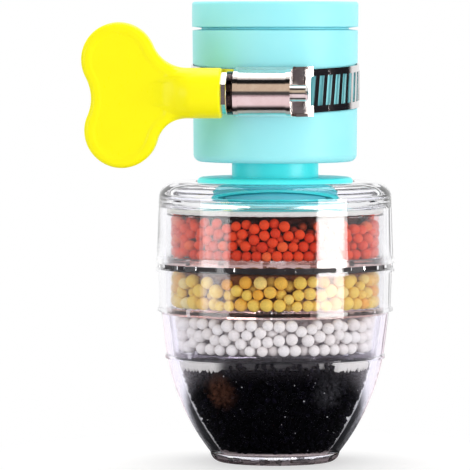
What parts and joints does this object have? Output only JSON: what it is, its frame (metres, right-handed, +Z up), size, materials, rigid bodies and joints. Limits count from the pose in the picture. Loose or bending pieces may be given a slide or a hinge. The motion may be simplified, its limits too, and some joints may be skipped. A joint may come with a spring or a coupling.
{
  "type": "faucet mount water filter",
  "caption": "Clear cartridge filter with bead and carbon beds, hung from a tap by a soft sleeve that a worm-drive clamp with a thumb key tightens.",
  "frame": {"origin": "centre of the bowl's flat base, on the housing's axis", "axes": "+Z up the housing's axis to the tap, +X to the right with the clamp's screw in front, +Y to the back"},
  "size_m": [0.0726, 0.0608, 0.1115],
  "materials": {
    "clear_bowl": "clear, glossy",
    "clear_cover": "clear, glossy",
    "clear_tray": "clear, glossy",
    "screen_mesh": "fine woven mesh",
    "carbon": "glittering broken grains",
    "white_felt": "non-woven felt",
    "white_beads": "matt beads",
    "yellow_beads": "matt beads",
    "red_beads": "matt beads",
    "seal_rubber": "translucent silicone",
    "dark_rubber": "satin black rubber",
    "cyan_plastic": "satin",
    "aqua_rubber": "satin silicone",
    "band_steel": "bright rolled strip",
    "housing_steel": "bright pressed steel",
    "screw_steel": "bright plated",
    "yellow_plastic": "glossy"
  },
  "bodies": {
    "filter": {"bowl": "clear_bowl", "outlet_screen": "screen_mesh", "carbon_bed": "carbon", "carbon_top_pad": "white_felt", "white_tray": "clear_tray", "white_bed": "white_beads", "yellow_tray": "clear_tray", "yellow_bed": "yellow_beads", "red_tray": "clear_tray", "red_bed": "red_beads", "top_pad": "white_felt", "cover_seal": "dark_rubber", "top_cover": "clear_cover"},
    "connector": {"connector": "cyan_plastic", "connector_nut": "cyan_plastic", "connector_seal": "seal_rubber", "tap_seal": "seal_rubber", "sleeve": "aqua_rubber"},
    "clamp": {"clamp_band": "band_steel", "clamp_housing": "housing_steel"},
    "screw": {"clamp_screw": "screw_steel", "thumb_key": "yellow_plastic"}
  },
  "joints": [
    {"name": "filter_swivel", "type": "hinge", "parent": "filter", "child": "connector", "pos_m": [0, 0, 0.06515], "axis": [0, 0, 1], "continuous": true},
    {"name": "clamp_swivel", "type": "hinge", "parent": "connector", "child": "clamp", "pos_m": [0, 0, 0.0912], "axis": [0, -0.0576, 0.9983], "continuous": true},
    {"name": "key_turn", "type": "hinge", "parent": "clamp", "child": "screw", "pos_m": [0, -0.02581, 0.08971], "axis": [1, 0, 0], "continuous": true}
  ]
}
